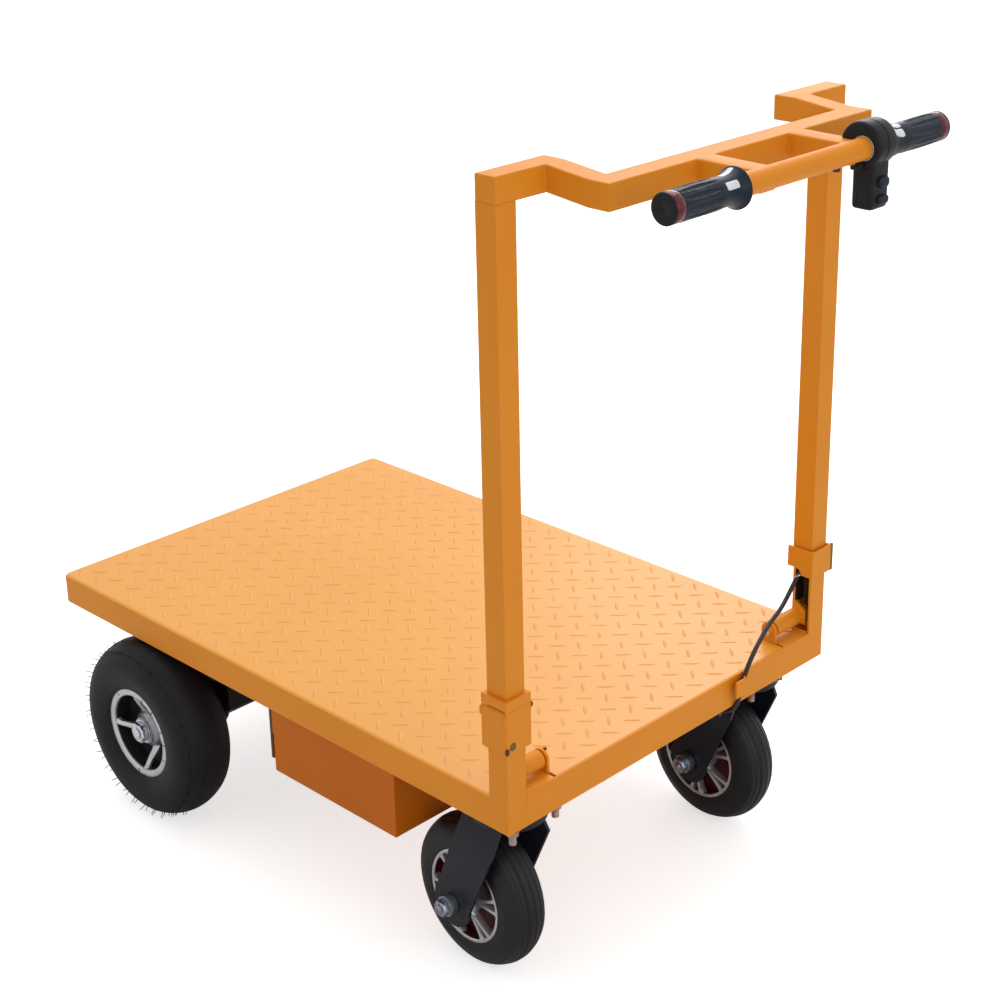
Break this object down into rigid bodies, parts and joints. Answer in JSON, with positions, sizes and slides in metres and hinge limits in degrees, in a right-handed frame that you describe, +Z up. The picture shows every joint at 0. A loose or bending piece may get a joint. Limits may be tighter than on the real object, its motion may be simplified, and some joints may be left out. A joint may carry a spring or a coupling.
{
  "type": "powered flatbed cart with folding handle",
  "caption": "Steel flatbed cart with a tread-plate deck, a handle frame that folds over it, air-filled drive wheels, swivel castors and a battery box below.",
  "frame": {"origin": "on the floor under the middle of the whole cart's box", "axes": "+X along the deck toward the handle, +Y toward the operator's right, +Z up"},
  "size_m": [1.0944, 0.6648, 1.05],
  "materials": {
    "orange_paint": "satin powder coat",
    "black_paint": "gloss black paint",
    "zinc_steel": "zinc plated",
    "black_tyre": "smooth moulded rubber",
    "cast_wheel": "bright cast",
    "grip_rubber": "ribbed, satin",
    "black_plastic": "fine satin",
    "cable_sheath": "satin sheath"
  },
  "bodies": {
    "chassis": {"deck_plate": "orange_paint", "rear_rail": "orange_paint", "cross_members": "orange_paint", "side_rail_left": "orange_paint", "side_rail_right": "orange_paint", "post_stub_left": "orange_paint", "post_stub_right": "orange_paint", "collar_left": "orange_paint", "collar_right": "orange_paint", "hinge_pin_left": "orange_paint", "hinge_pin_right": "orange_paint", "battery_box": "orange_paint", "battery": "black_plastic", "axle_cradle": "black_paint", "drive_axle": "black_paint", "drive_motor": "black_paint", "axle_shaft_left": "zinc_steel", "axle_shaft_right": "zinc_steel", "castor_plate_left": "zinc_steel", "castor_plate_right": "zinc_steel", "control_cable": "cable_sheath", "cable_tab": "orange_paint", "cable_gland": "black_plastic"},
    "handle": {"handle_leg_left": "orange_paint", "handle_leg_right": "orange_paint", "leg_ring": "orange_paint", "top_bar": "orange_paint", "handle_links": "orange_paint", "handlebar": "orange_paint", "grip_left": "grip_rubber", "grip_right": "grip_rubber", "throttle_housing": "black_plastic", "switch_box": "black_plastic"},
    "castor_left": {"castor_fork_left": "black_paint", "castor_axle_left": "zinc_steel"},
    "castor_wheel_left": {"castor_tyre_left": "black_tyre", "castor_rim_left": "cast_wheel"},
    "drive_wheel_left": {"drive_tyre_left": "black_tyre", "drive_rim_left": "cast_wheel"},
    "castor_right": {"castor_fork_right": "black_paint", "castor_axle_right": "zinc_steel"},
    "castor_wheel_right": {"castor_tyre_right": "black_tyre", "castor_rim_right": "cast_wheel"},
    "drive_wheel_right": {"drive_tyre_right": "black_tyre", "drive_rim_right": "cast_wheel"}
  },
  "joints": [
    {"name": "handle_fold", "type": "hinge", "parent": "chassis", "child": "handle", "pos_m": [0.32675, 0, 0.3235], "axis": [0, -1, 0], "range_deg": [0, 90]},
    {"name": "castor_swivel_left", "type": "hinge", "parent": "chassis", "child": "castor_left", "pos_m": [0.28175, -0.2265, 0.2455], "axis": [0, 0, 1], "continuous": true},
    {"name": "castor_roll_left", "type": "hinge", "parent": "castor_left", "child": "castor_wheel_left", "pos_m": [0.22633, -0.22359, 0.1], "axis": [0.0523, 0.9986, 0], "continuous": true},
    {"name": "drive_roll_left", "type": "hinge", "parent": "chassis", "child": "drive_wheel_left", "pos_m": [-0.35525, -0.288, 0.13], "axis": [0, 1, 0], "continuous": true},
    {"name": "castor_swivel_right", "type": "hinge", "parent": "chassis", "child": "castor_right", "pos_m": [0.28175, 0.2265, 0.2455], "axis": [0, 0, 1], "continuous": true},
    {"name": "castor_roll_right", "type": "hinge", "parent": "castor_right", "child": "castor_wheel_right", "pos_m": [0.22633, 0.2294, 0.1], "axis": [0.0523, 0.9986, 0], "continuous": true},
    {"name": "drive_roll_right", "type": "hinge", "parent": "chassis", "child": "drive_wheel_right", "pos_m": [-0.35525, 0.288, 0.13], "axis": [0, 1, 0], "continuous": true}
  ]
}
